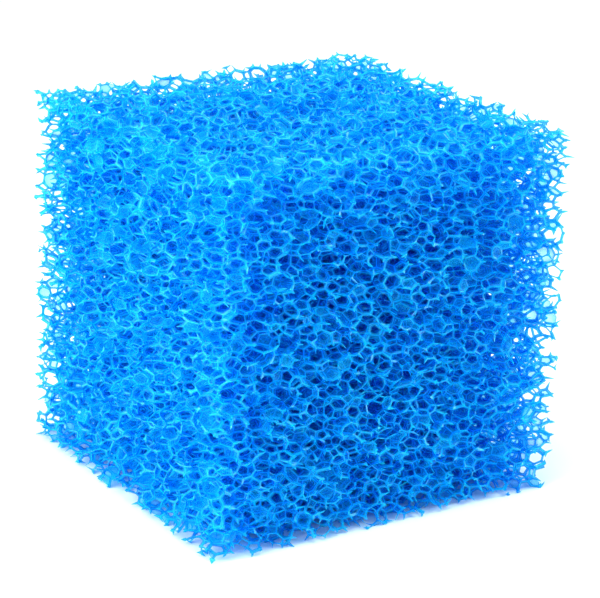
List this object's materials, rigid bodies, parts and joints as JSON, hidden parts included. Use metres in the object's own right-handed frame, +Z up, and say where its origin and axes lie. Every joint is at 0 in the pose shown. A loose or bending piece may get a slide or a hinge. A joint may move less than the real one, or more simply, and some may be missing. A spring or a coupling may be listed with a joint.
{
  "type": "filter foam block",
  "caption": "Squarish block of coarse open-cell filter foam with an open network of thin glossy struts, cut flat on all sides, that water passes through.",
  "frame": {"origin": "middle of the base face, on the surface that the block stands on", "axes": "+Z up, +Y along the block's longest side, +X across it"},
  "size_m": [0.0746, 0.0794, 0.075],
  "materials": {
    "blue_foam": "glossy thin struts of dyed flexible polyurethane"
  },
  "bodies": {
    "root": {"foam_block": "blue_foam"}
  },
  "joints": []
}
